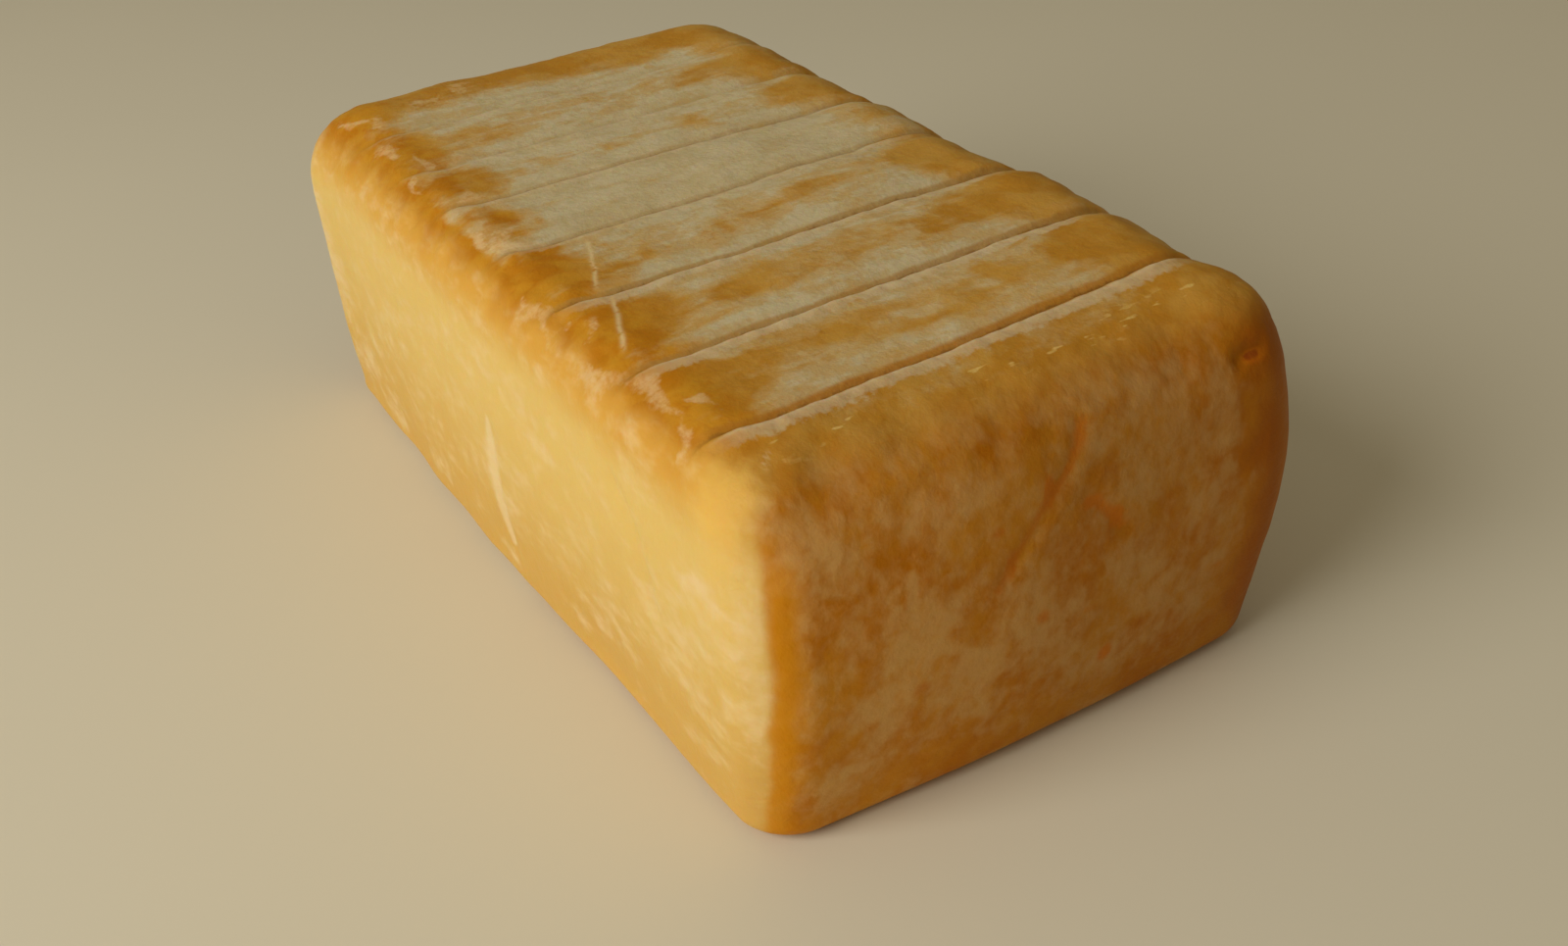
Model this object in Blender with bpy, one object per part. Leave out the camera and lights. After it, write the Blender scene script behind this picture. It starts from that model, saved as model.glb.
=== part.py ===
"""A small loaf of limburger, a washed-rind cheese, in metres with +Z up.

One solid: a soft-edged brick whose sides belly out a little. Seven grooves run across its top, where it
lay on the bars of a ripening rack, and the rind between them stands up in pillows. The ends and sides
carry a few shallow creases, dents and swells. Its base is flat, with the origin at its middle.
"""
from math import exp, hypot

import bmesh
import bpy
from mathutils import Vector, noise

MM = 0.001
NAME = "limburger"

# Overall size
LENGTH = 104.0 * MM  # along X
WIDTH = 55.8 * MM
HEIGHT = 35.7 * MM

# Edges
TOP_RADIUS = 7.6 * MM
SIDE_TOP_RADIUS = 5.0 * MM  # of the upper edge along -Y
SIDE_TOP_FADE = (-48 * MM, -20 * MM)  # that edge grows rounder from the second X to the first
RADIUS_BLEND = 6 * MM  # the two radii change over across this distance each side of the corner
BASE_RADIUS = 2.3 * MM
CORNER_RADII = {  # of the four upright edges, by the signs of X and Y
    (1, -1): 5.0 * MM,
    (1, 1): 6.0 * MM,
    (-1, -1): 6.0 * MM,
    (-1, 1): 6.0 * MM,
}
LEAST_CORNER = 3.4 * MM  # of the same corners where the rim meets the top
SHARP_INSET = 14 * MM  # from here inwards the mesh lies square on the top

# How far the middle of each face stands out beyond the face's edges
END_BELLY = 2.4 * MM  # of the end faces, between base and top
END_BOW = 0.9 * MM  # of the end faces, from corner to corner
SIDE_BELLY = 0.9 * MM
SIDE_BOW = 0.6 * MM

# Grooves across the top, counted from the +X end
GROOVE_DEPTHS = [depth * MM for depth in (1.3, 1.25, 1.15, 0.8, 0.75, 0.6, 0.6)]
FIRST_GROOVE = 41.2 * MM
GROOVE_PITCH = 12.7 * MM
PITCH_GAIN = 0.07 * MM  # each step is a little shorter than the one before
GROOVE_SLANT = -0.03  # shift along X for each metre along Y
GROOVE_HALF_WIDTH = 1.0 * MM
PILLOW_RISE = 0.50 * MM  # crown of the rind between two grooves, at the +Y rim
PILLOW_FADE = (-16 * MM, 20 * MM)  # the crowns grow from nothing at the first Y to full height at the second
GROOVE_FADE = (20 * MM, 27 * MM)  # the grooves run out towards the -Y rim

# Creases: start, bend and end as (across, up) on the face, then depth and half width
END_CREASES = (
    ((2.6, 33.5), (0.6, 27.5), (-6.0, 21.0), 0.50, 1.1),
    ((1.8, 25.6), (4.6, 24.2), (6.6, 21.0), 0.40, 1.0),
    ((18.6, 31.4), (19.8, 31.9), (21.0, 31.6), 0.80, 0.9),
)
SIDE_CREASES = (
    ((30.0, 27.0), (34.5, 24.5), (35.0, 18.0), 0.30, 1.3),
    ((4.5, 19.0), (2.0, 12.0), (3.5, 5.0), 0.25, 1.3),
)
CURVE_STEPS = 12

# Swells and dents: middle, height (below zero for a dent) and reach, in millimetres
SWELLS = (
    ((47, 25, 22), 0.65, 7),
    ((48, 25, 31), -0.30, 5),
    ((47, 25, 8), -0.45, 7),
    ((47, 22, 35), 0.70, 7),
    ((35, 24, 34), 0.20, 6),
    ((22, 24, 34), 0.40, 6),
    ((5, 26, 34), -0.60, 7),
    ((-43, 23, 34), 1.00, 8),
    ((-44, -24, 32), 0.75, 9),
    ((-38, -27, 14), -0.40, 11),
    ((23, -27, 3), -0.60, 10),
    ((49, -20, 1), -0.50, 7),
)

# Unevenness of the whole rind
LUMP_HEIGHTS = (0.30 * MM, 0.12 * MM)
LUMP_SPANS = (17 * MM, 6 * MM)
LUMP_SEED = Vector((3.1, 7.4, 1.9))

# Spacing of the mesh
GROOVE_CUTS = (-1.5 * MM, -0.5 * MM, 0.5 * MM, 1.5 * MM)
PILLOW_CUTS = (0.36, 0.64)  # shares of the pitch
RIM_CUTS = [1.0 * MM, BASE_RADIUS, 3.6 * MM, 5.4 * MM, TOP_RADIUS]  # distances in from an edge
BASE_CUTS = [0.8 * MM, 1.5 * MM, BASE_RADIUS]  # heights above the base
FACE_CUT = 2.6 * MM  # elsewhere

RIND_COLOUR = (0.55, 0.27, 0.06, 1.0)
RIND_ROUGHNESS = 0.5

# Half sizes at the edges of the faces, without belly and bow
HALF_X = LENGTH / 2 - END_BELLY - END_BOW
HALF_Y = WIDTH / 2 - SIDE_BELLY - SIDE_BOW


def ease(low, high, value):
    """Rise smoothly from 0 at low to 1 at high."""
    share = min(max((value - low) / (high - low), 0.0), 1.0)
    return share * share * (3.0 - 2.0 * share)


def groove_place(index):
    """X of a groove where it crosses the middle of the top."""
    return FIRST_GROOVE - GROOVE_PITCH * index + PITCH_GAIN * index * index


def groove_shift(x, y):
    """How far the grooves' slant carries them along X; none at the ends of the loaf."""
    return GROOVE_SLANT * y * (1.0 - (x / HALF_X) ** 2)


def between(low, high, step):
    """Evenly spaced values between two others, about a step apart."""
    count = max(int(round((high - low) / step)), 1)
    return [low + (high - low) * i / count for i in range(1, count)]


def cuts_along_x():
    """Mesh stations along the length: the grooves, the pillows and both rims."""
    cuts = []
    for index in range(len(GROOVE_DEPTHS)):
        place = groove_place(index)
        cuts += [place + offset for offset in GROOVE_CUTS]
        cuts += [place - share * GROOVE_PITCH for share in PILLOW_CUTS]
    rim = [HALF_X - depth for depth in RIM_CUTS]
    return cuts + rim[:-1] + [-x for x in rim]


def cuts_along_y():
    """Mesh stations across the width: both rims and even steps between them."""
    rim = [HALF_Y - depth for depth in RIM_CUTS]
    return rim + [-y for y in rim] + between(-rim[-1], rim[-1], FACE_CUT)


def cuts_along_z():
    """Mesh stations up the sides: the base's edge, even steps and the top rim."""
    rim = [HEIGHT - depth for depth in RIM_CUTS]
    return BASE_CUTS + rim + between(BASE_CUTS[-1], rim[-1], FACE_CUT)


def soften_edge(inset, drop, radius):
    """Move a point of a square edge, inset from one face and drop from the other, onto a round one."""
    out, up = radius - inset, radius - drop
    if out <= 0.0 or up <= 0.0:
        return inset, drop
    reach = radius / hypot(out, up)
    return radius - out * reach, radius - up * reach


def soften_corner(x, y, inset, least):
    """Round the corner of the ring that lies inset from the walls; gives the new point and its outward direction."""
    half_x, half_y = HALF_X - inset, HALF_Y - inset
    side_x = -1 if x < 0.0 else 1
    side_y = -1 if y < 0.0 else 1
    radius = max(CORNER_RADII[side_x, side_y] - inset, least)
    out_x = abs(x) - (half_x - radius)
    out_y = abs(y) - (half_y - radius)
    if out_x <= 0.0 or out_y <= 0.0:
        return x, y, (0.0, side_y) if out_y > out_x else (side_x, 0.0)
    reach = max(out_x, out_y) / hypot(out_x, out_y)
    round_x = (half_x - radius + out_x * reach) * side_x
    round_y = (half_y - radius + out_y * reach) * side_y
    span = hypot(out_x, out_y)
    return round_x, round_y, (side_x * out_x / span, side_y * out_y / span)


def upper_radius(x, y):
    """Radius of the upper edge that lies nearest to a point."""
    if y >= 0.0:
        return TOP_RADIUS
    nearer_side = (HALF_X - abs(x)) - (HALF_Y - abs(y))
    share = ease(-RADIUS_BLEND, RADIUS_BLEND, nearer_side) * ease(SIDE_TOP_FADE[0], SIDE_TOP_FADE[1], x)
    return TOP_RADIUS + (SIDE_TOP_RADIUS - TOP_RADIUS) * share


def onto_block(x, y, z):
    """Move a point of the square block onto the soft-edged one; gives the point and its normal."""
    inset = max(min(HALF_X - abs(x), HALF_Y - abs(y)), 0.0)
    radius, drop, upward = upper_radius(x, y), HEIGHT - z, 1.0
    if z < HEIGHT / 2:
        radius, drop, upward = BASE_RADIUS, z, -1.0
    new_inset, new_drop = soften_edge(inset, drop, radius)
    if inset < radius:
        x *= (HALF_X - new_inset) / (HALF_X - inset)
        y *= (HALF_Y - new_inset) / (HALF_Y - inset)
    z = HEIGHT - new_drop if upward > 0.0 else new_drop
    least = LEAST_CORNER * (1.0 - ease(TOP_RADIUS, SHARP_INSET, new_inset))
    x, y, out = soften_corner(x, y, new_inset, least)
    outward = min(max(1.0 - new_inset / radius, 0.0), 1.0)
    rise = upward * min(max(1.0 - new_drop / radius, 0.0), 1.0)
    return Vector((x, y, z)), Vector((out[0] * outward, out[1] * outward, rise))


def belly(point):
    """Push the faces out in the middle."""
    x_share, y_share, z_share = point.x / HALF_X, point.y / HALF_Y, point.z / HEIGHT
    hump = 4.0 * z_share * (1.0 - z_share)
    point.x += x_share * (END_BELLY * hump + END_BOW * (1.0 - y_share**2))
    point.y += y_share * (SIDE_BELLY * hump + SIDE_BOW * (1.0 - x_share**2))


def groove_relief(x, y):
    """Height of the top's pillows and grooves."""
    height = 0.0
    crown = PILLOW_RISE * ease(PILLOW_FADE[0], PILLOW_FADE[1], y)
    x -= groove_shift(x, y)
    places = [groove_place(index) for index in range(len(GROOVE_DEPTHS))]
    for place, depth in zip(places, GROOVE_DEPTHS):
        height -= depth * exp(-((x - place) / GROOVE_HALF_WIDTH) ** 2)
    for front, back in zip(places, places[1:]):
        if back < x < front:
            share = (x - back) / (front - back)
            height += crown * (1.0 - abs(2.0 * share - 1.0) ** 3)
    return height * (1.0 - ease(GROOVE_FADE[0], GROOVE_FADE[1], -y))


def crease_relief(across, up, creases):
    """Depth of the creases at a point of a face, in metres and below zero."""
    height = 0.0
    for start, bend, end, depth, half_width in creases:
        nearest = 1.0
        for step in range(CURVE_STEPS + 1):
            t = step / CURVE_STEPS
            weights = ((1 - t) ** 2, 2 * t * (1 - t), t * t)
            curve = [sum(w * p[i] for w, p in zip(weights, (start, bend, end))) * MM for i in (0, 1)]
            nearest = min(nearest, hypot(across - curve[0], up - curve[1]))
        height -= depth * MM * exp(-(nearest / (half_width * MM)) ** 2)
    return height


def lumps(point):
    """Broad unevenness, in metres."""
    return sum(
        height * noise.noise(point / span + LUMP_SEED) for height, span in zip(LUMP_HEIGHTS, LUMP_SPANS)
    )


def swells(point):
    """The named swells and dents, in metres."""
    height = 0.0
    for middle, rise, reach in SWELLS:
        gap = (point - Vector(middle) * MM).length / (reach * MM)
        height += rise * MM * exp(-gap * gap)
    return height


def shape(vert):
    """Move one vertex of the cut block to its place on the loaf."""
    point, normal = onto_block(*vert.co)
    on_base = normal.z < -0.999
    point.x += groove_shift(point.x, point.y)
    belly(point)
    if not on_base:
        off_base = ease(0.0, 3 * MM, point.z)
        relief = lumps(point) + swells(point)
        relief += groove_relief(point.x, point.y) * max(normal.z, 0.0) ** 2
        relief += crease_relief(point.y, point.z, END_CREASES) * max(normal.x, 0.0)
        relief += crease_relief(point.x, point.z, SIDE_CREASES) * max(-normal.y, 0.0)
        point += normal * relief * off_base
    vert.co = point


def cut_block():
    """A box cut by planes into the mesh that the loaf is shaped from."""
    block = bmesh.new()
    bmesh.ops.create_cube(block, size=1.0)
    for vert in block.verts:
        vert.co = Vector((vert.co.x * 2 * HALF_X, vert.co.y * 2 * HALF_Y, (vert.co.z + 0.5) * HEIGHT))
    for axis, cuts in enumerate((cuts_along_x(), cuts_along_y(), cuts_along_z())):
        direction = Vector([float(axis == i) for i in range(3)])
        for cut in cuts:
            geometry = block.verts[:] + block.edges[:] + block.faces[:]
            bmesh.ops.bisect_plane(block, geom=geometry, plane_co=direction * cut, plane_no=direction)
    return block


def join_base(block):
    """Make the flat of the base one face."""
    flat = [face for face in block.faces if all(abs(vert.co.z) < 1e-7 for vert in face.verts)]
    for face in flat:
        for vert in face.verts:
            vert.co.z = 0.0
    bmesh.ops.dissolve_faces(block, faces=flat, use_verts=True)


def fit_to_size(block):
    """Scale and centre the loaf to its overall size, with the base kept at z = 0."""
    for axis, size in enumerate((LENGTH, WIDTH, HEIGHT)):
        values = [vert.co[axis] for vert in block.verts]
        low, high = min(values), max(values)
        middle = (low + high) / 2 if axis < 2 else 0.0
        for vert in block.verts:
            vert.co[axis] = (vert.co[axis] - middle) * size / (high - low)


def rind_material():
    """Orange-brown washed rind."""
    material = bpy.data.materials.new("rind")
    material.use_nodes = True
    shader = material.node_tree.nodes["Principled BSDF"]
    shader.inputs["Base Color"].default_value = RIND_COLOUR
    shader.inputs["Roughness"].default_value = RIND_ROUGHNESS
    shader.inputs["Metallic"].default_value = 0.0
    return material


def build_loaf(collection):
    """The whole loaf as one object."""
    block = cut_block()
    for vert in block.verts:
        shape(vert)
    join_base(block)
    fit_to_size(block)
    bmesh.ops.recalc_face_normals(block, faces=block.faces[:])
    mesh = bpy.data.meshes.new(NAME)
    block.to_mesh(mesh)
    block.free()
    mesh.shade_smooth()
    mesh.materials.append(rind_material())
    collection.objects.link(bpy.data.objects.new(NAME, mesh))


def main():
    for item in list(bpy.data.objects):
        bpy.data.objects.remove(item, do_unlink=True)
    collection = bpy.data.collections.new("limburger_loaf")
    bpy.context.scene.collection.children.link(collection)
    build_loaf(collection)


main()
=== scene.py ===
"""The looks of a small loaf of limburger: its fine form, rind, bloom, light and camera."""
from math import cos, radians, sin

import bpy
import numpy as np
from mathutils import Matrix, Vector, noise


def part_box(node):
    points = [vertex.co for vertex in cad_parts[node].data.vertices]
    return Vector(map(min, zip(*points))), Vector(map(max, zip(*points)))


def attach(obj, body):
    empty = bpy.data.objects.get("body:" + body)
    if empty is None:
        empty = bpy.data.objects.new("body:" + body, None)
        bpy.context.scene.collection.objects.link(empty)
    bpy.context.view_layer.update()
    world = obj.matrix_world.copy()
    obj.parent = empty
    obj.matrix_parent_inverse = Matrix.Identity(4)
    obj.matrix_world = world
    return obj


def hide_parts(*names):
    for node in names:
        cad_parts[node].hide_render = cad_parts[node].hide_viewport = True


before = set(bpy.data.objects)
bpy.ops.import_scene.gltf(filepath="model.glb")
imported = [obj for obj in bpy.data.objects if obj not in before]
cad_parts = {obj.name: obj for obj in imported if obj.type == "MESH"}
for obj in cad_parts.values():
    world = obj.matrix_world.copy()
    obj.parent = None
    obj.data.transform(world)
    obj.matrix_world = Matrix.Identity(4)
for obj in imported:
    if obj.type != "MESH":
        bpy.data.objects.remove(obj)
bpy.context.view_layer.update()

MM = 0.001

# ---------------------------------------------------------------- driving sizes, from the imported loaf
LOW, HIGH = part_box("limburger")
LENGTH, WIDTH, HEIGHT = HIGH - LOW

# Edges and faces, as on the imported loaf
TOP_RADIUS = 7.6 * MM
SIDE_TOP_RADIUS = 5.0 * MM
SIDE_TOP_FADE = (-48 * MM, -20 * MM)
RADIUS_BLEND = 6 * MM
BASE_RADIUS = 2.3 * MM
CORNER_RADII = {(1, -1): 5.0 * MM, (1, 1): 6.0 * MM, (-1, -1): 6.0 * MM, (-1, 1): 6.0 * MM}
LEAST_CORNER = 3.4 * MM
SHARP_INSET = 14 * MM
END_BELLY = 2.4 * MM
END_BOW = 0.9 * MM
SIDE_BELLY = 0.9 * MM
SIDE_BOW = 0.6 * MM
HALF_X = LENGTH / 2 - END_BELLY - END_BOW
HALF_Y = WIDTH / 2 - SIDE_BELLY - SIDE_BOW

# Grooves across the top, counted from the +X end
GROOVE_DEPTHS = (1.3, 1.25, 1.15, 0.8, 0.75, 0.6, 0.6)  # in mm
FIRST_GROOVE = 41.2 * MM
GROOVE_PITCH = 12.7 * MM
PITCH_GAIN = 0.07 * MM
GROOVE_SLANT = -0.03
PILLOW_RISE = 0.50
PILLOW_FADE = (-16, 20)
GROOVE_FADE = (22.0, 27.0)

# How far each groove lies from its even place in mm at the middle, and how it leans with y
GROOVE_DRIFTS = (
    (-0.60, -0.042), (-0.15, -0.040), (-0.70, -0.010), (-1.15, -0.010),
    (-0.95, 0.015), (-0.40, 0.0), (-0.30, 0.0),
)
# The dark cut at the bottom of each groove, bare rind partly darkened as painted shade: its half width in
# mm, how strong and how dull it shows
CUTS = (
    (0.50, 1.0, 0.0), (0.40, 0.80, 0.7), (0.38, 0.80, 1.0), (0.34, 0.40, 1.0),
    (0.34, 0.40, 1.0), (0.32, 0.12, 1.0), (0.32, 0.15, 1.0),
)

# Creases along bent lines in mm, on the +X end as (y, z) and on the -Y side as (x, z): start, bend,
# end, depth, half width
END_CREASES = (
    ((2.6, 31.2), (-0.2, 26.8), (-6.0, 21.0), 0.17, 0.8),
    ((3.4, 31.0), (1.0, 26.6), (-3.0, 22.8), -0.07, 0.9),
    ((2.0, 25.4), (4.2, 24.0), (5.8, 21.0), 0.18, 1.1),
    ((18.6, 31.0), (19.8, 31.5), (21.2, 31.2), 0.55, 0.8),
)
SIDE_CREASES = (
    ((30.0, 27.0), (34.5, 24.5), (35.0, 18.0), 0.30, 1.3),
    ((3.9, 19.0), (1.6, 12.0), (3.4, 5.0), 0.20, 1.3),
)
CURVE_STEPS = 120
# Swells and dents in mm: place, height, reach
SWELLS = (
    ((47, 25, 22), 0.65, 7),
    ((48, 25, 31), -0.30, 5),
    ((47, 25, 8), -0.45, 7),
    ((46, 22, 35), 1.10, 7),
    ((35, 25, 33), -0.25, 4),
    ((28, 25, 33), 1.05, 5),
    ((17, 25, 33), 1.20, 5),
    ((10, 26, 33), -0.30, 4),
    ((3, 25, 33), 0.35, 5),
    ((-8, 25, 33), 0.60, 6),
    ((-22, 25, 33), 0.50, 5),
    ((-33, 24, 34), 0.75, 6),
    ((-42, 23, 34), 1.00, 7),
    ((-49, -8, 34), 0.75, 9),
    ((-49, 8, 34), 0.70, 9),
    ((-44, -24, 32), 0.75, 9),
    ((-38, -27, 14), -0.40, 11),
    ((23, -27, 3), -0.60, 10),
    ((49, -20, 1), -0.50, 7),
)
# The uneven form: height and span in mm
LUMPS = ((0.30, 17), (0.12, 6))
LUMP_SEED = Vector((3.1, 7.4, 1.9))

# Thin raised veins near the -Y rim of the top, as (x, y): start, bend, end
VEINS = (
    ((4.6, -16.6), (9.9, -17.9), (15.2, -20.6)),
    ((17.0, -20.0), (21.6, -21.5), (26.2, -23.4)),
)
VEIN_RISE = 0.05
VEIN_RELIEF_REACH = 0.55
# Small ring-shaped scars at the near corner, in mm: place, ring radius
SCARS = (((47.6, -20.4, 33.4), 0.8),)
SCAR_RISE = 0.07
SCAR_DIP = 0.06

# Section of a groove, in mm across it and in shares of its depth: a narrow slot, a gentle fall behind
# it and a raised lip before it. Near the +Y rim a wider and deeper slot lies in a broad dip.
SLOT_HALF_WIDTH, SLOT_SHARE, SLOT_POWER = 0.36, 0.16, 2.4
RIM_SLOT_WIDENING, RIM_SLOT_SHARE = 0.3, 0.42
FALL_SHARE, FALL_FROM = 0.20, -1.7
LIP_PLACE, LIP_HALF_WIDTH, LIP_SHARE, LIP_UNEVEN = 1.2, 0.75, 0.14, 0.12
DIP_SHARE, DIP_HALF_WIDTH = 0.28, 1.5
FAR_RIM_ZONE = (14.0, 25.0)
LEAST_PILLOW = 0.08

# Heights of the fine relief in mm
WRINKLE_RISE, WRINKLE_RISE_ON_TOP = 0.045, 0.025
GRAIN_RISE = 0.02
UPRIGHT_FOLD_RISE = 0.035
CROSS_FOLD_RISE = 0.05
RIM_LUMP_RISES = (0.18, 0.10, 0.05)
FOOT_RISE = 0.25

# Noise in the form: size of the lumps in mm, and a seed of its own for each noise
WIDE_SPAN, MIDDLE_SPAN, FINE_SPAN = 7.0, 2.6, 1.1
WIDE_SEED, MIDDLE_SEED, FINE_SEED = 1, 2, 3
UPRIGHT_FOLD_SEED, CROSS_FOLD_SEED, RIM_SEED = 6, 7, 14
TONGUE_SEED, FINE_TONGUE_SEED = 15, 16
# What bends the outlines of colour places along each axis: height and span in mm, seed
BEND_X = ((1.3, 3.6, 8), (0.6, 1.4, 9))
BEND_Y = ((2.2, 4.0, 10), (0.8, 1.6, 11))
BEND_Z = ((1.6, 3.6, 12), (0.6, 1.5, 13))
# How the grooves wander: height and span in mm, seed; and how far they turn at the -Y rim
WANDERS = ((0.26, 6.0, 4), (0.12, 1.9, 5))
WANDER_SPACING = 9 * MM
GROOVE_HOOK = 1.3

# Spacing of the fine mesh
FINE_STEP = 0.22 * MM
PLAIN_STEP = 0.52 * MM
STEP_ACROSS = 0.9 * PLAIN_STEP
STEP_UP = 0.95 * PLAIN_STEP
GROOVE_REACH = 2.0 * MM
BASE_RINGS = 5


# ---------------------------------------------------------------- small helpers on arrays
def ease(low, high, value):
    """A smooth step from 0 at low to 1 at high."""
    share = np.clip((value - low) / (high - low), 0.0, 1.0)
    return share * share * (3.0 - 2.0 * share)


def bell(value, reach):
    """1 where the value is 0, falling off smoothly on both sides."""
    return np.exp(-((value / reach) ** 2))


def perlin(points, span, seed):
    """Noise from -1 to 1 at each point; span is the size of its lumps in mm."""
    shift = Vector((seed * 7.13, seed * 3.71, seed * 5.37))
    scaled = points / (np.array(span) * MM)
    return np.array([noise.noise(Vector(place) + shift) for place in scaled])


def groove_places():
    """Where the grooves cross the middle line, from the +X end."""
    count = len(GROOVE_DEPTHS)
    return [FIRST_GROOVE - GROOVE_PITCH * i + PITCH_GAIN * i * i for i in range(count)]


# ---------------------------------------------------------------- the loaf's form
def soften_edge(inset, drop, radius):
    """Pull points near a square edge onto a round one, given their depths from its two faces."""
    out, up = radius - inset, radius - drop
    rounding = (out > 0.0) & (up > 0.0)
    reach = np.where(rounding, radius / np.maximum(np.hypot(out, up), 1e-12), 1.0)
    new_inset = np.where(rounding, radius - out * reach, inset)
    new_drop = np.where(rounding, radius - up * reach, drop)
    return new_inset, new_drop


def upper_radius(x, y):
    """Radius of the upper edge, which is smaller along the -Y side."""
    nearer_side = (HALF_X - abs(x)) - (HALF_Y - abs(y))
    share = ease(-RADIUS_BLEND, RADIUS_BLEND, nearer_side) * ease(*SIDE_TOP_FADE, x)
    return TOP_RADIUS + (SIDE_TOP_RADIUS - TOP_RADIUS) * np.where(y < 0.0, share, 0.0)


def corner_radius(side_x, side_y):
    """Radius of the upright corner on the given sides."""
    radius = np.zeros(len(side_x))
    for (sign_x, sign_y), value in CORNER_RADII.items():
        radius = np.where((side_x == sign_x) & (side_y == sign_y), value, radius)
    return radius


def onto_block(points):
    """Move points of the square block onto the soft-edged one; gives points and normals."""
    x, y, z = points.T
    inset = np.maximum(np.minimum(HALF_X - abs(x), HALF_Y - abs(y)), 0.0)
    upper = z >= HEIGHT / 2
    radius = np.where(upper, upper_radius(x, y), BASE_RADIUS)
    drop = np.where(upper, HEIGHT - z, z)
    new_inset, new_drop = soften_edge(inset, drop, radius)
    near = inset < radius
    x = np.where(near, x * (HALF_X - new_inset) / np.maximum(HALF_X - inset, MM), x)
    y = np.where(near, y * (HALF_Y - new_inset) / np.maximum(HALF_Y - inset, MM), y)
    z = np.where(upper, HEIGHT - new_drop, new_drop)
    side_x, side_y = np.where(x < 0, -1.0, 1.0), np.where(y < 0, -1.0, 1.0)
    least = LEAST_CORNER * (1.0 - ease(TOP_RADIUS, SHARP_INSET, new_inset))
    corner = np.maximum(corner_radius(side_x, side_y) - new_inset, least)
    core_x, core_y = HALF_X - new_inset - corner, HALF_Y - new_inset - corner
    out_x, out_y = abs(x) - core_x, abs(y) - core_y
    turning = (out_x > 0.0) & (out_y > 0.0)
    span = np.maximum(np.hypot(out_x, out_y), 1e-12)
    reach = np.maximum(out_x, out_y) / span
    x = np.where(turning, (core_x + out_x * reach) * side_x, x)
    y = np.where(turning, (core_y + out_y * reach) * side_y, y)
    normal_x = np.where(turning, side_x * out_x / span, np.where(out_y > out_x, 0.0, side_x))
    normal_y = np.where(turning, side_y * out_y / span, np.where(out_y > out_x, side_y, 0.0))
    outward = np.clip(1.0 - new_inset / radius, 0.0, 1.0)
    rise = np.where(upper, 1.0, -1.0) * np.clip(1.0 - new_drop / radius, 0.0, 1.0)
    return np.stack([x, y, z], 1), np.stack([normal_x * outward, normal_y * outward, rise], 1)


def groove_shift(x, y):
    """How far the slant of the grooves moves a place along x."""
    return GROOVE_SLANT * y * (1.0 - (x / HALF_X) ** 2)


def belly(points):
    """Let the four upright sides swell, most of all at half height and in their middle."""
    x_share, y_share = points[:, 0] / HALF_X, points[:, 1] / HALF_Y
    z_share = points[:, 2] / HEIGHT
    hump = 4.0 * z_share * (1.0 - z_share)
    points[:, 0] += x_share * (END_BELLY * hump + END_BOW * (1.0 - y_share**2))
    points[:, 1] += y_share * (SIDE_BELLY * hump + SIDE_BOW * (1.0 - x_share**2))


def curve_distance(across, up, start, bend, end):
    """Distance to a bent line, all in mm."""
    nearest = np.full(len(across), 99.0)
    for step in range(CURVE_STEPS + 1):
        t = step / CURVE_STEPS
        weights = ((1 - t) ** 2, 2 * t * (1 - t), t * t)
        place = [sum(w * p[i] for w, p in zip(weights, (start, bend, end))) for i in (0, 1)]
        nearest = np.minimum(nearest, np.hypot(across - place[0], up - place[1]))
    return nearest


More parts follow.
